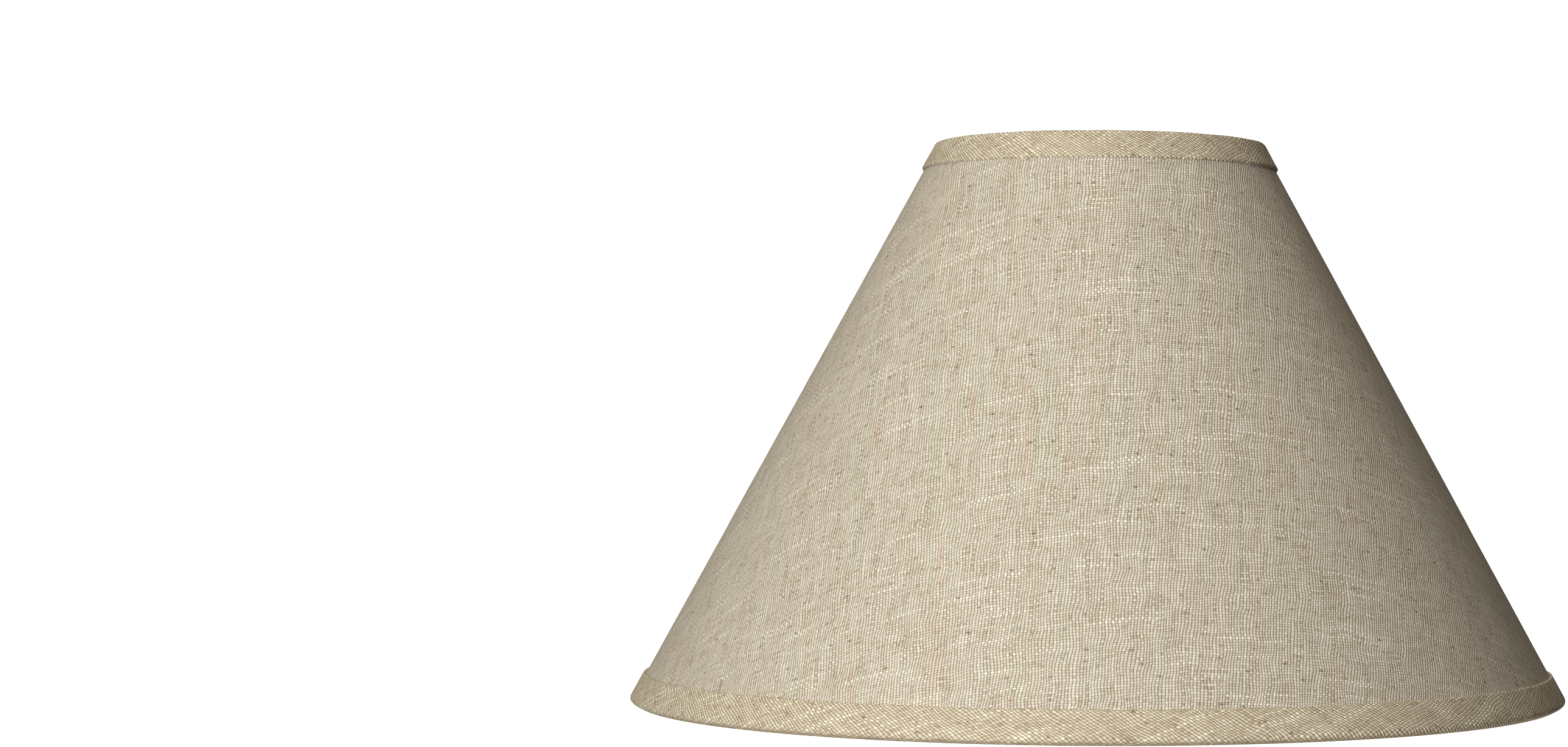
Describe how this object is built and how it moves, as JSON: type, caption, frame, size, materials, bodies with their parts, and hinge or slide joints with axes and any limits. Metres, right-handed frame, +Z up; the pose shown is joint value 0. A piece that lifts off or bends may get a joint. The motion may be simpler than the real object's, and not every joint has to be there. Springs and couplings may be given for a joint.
{
  "type": "lamp shade",
  "caption": "Hard-back empire lamp shade in natural linen-look cloth with folded bias trims, a white liner, wire rings and a drop-in washer fitter.",
  "frame": {"origin": "on the shade's axis, in the plane that its bottom edge stands on", "axes": "+Z up along the axis, towards the small opening; +Y towards the cloth's seam at the back; -Y is the front"},
  "size_m": [0.4318, 0.4317, 0.2587],
  "materials": {
    "cover_linen": "natural linen-look plain weave with slubs",
    "trim_linen": "the same cloth, bias cut and folded",
    "liner_white": "smooth white styrene",
    "seam_adhesive": "clear adhesive strip",
    "ring_steel": "drawn steel wire",
    "fitter_brass": "brass-plated steel"
  },
  "bodies": {
    "root": {"top_ring": "ring_steel", "bottom_ring": "ring_steel", "spider_arm_1": "fitter_brass", "spider_arm_2": "fitter_brass", "spider_arm_3": "fitter_brass", "spider_washer": "fitter_brass", "liner": "liner_white", "cover": "cover_linen", "seam_tape": "seam_adhesive", "top_trim": "trim_linen", "bottom_trim": "trim_linen"}
  },
  "joints": []
}
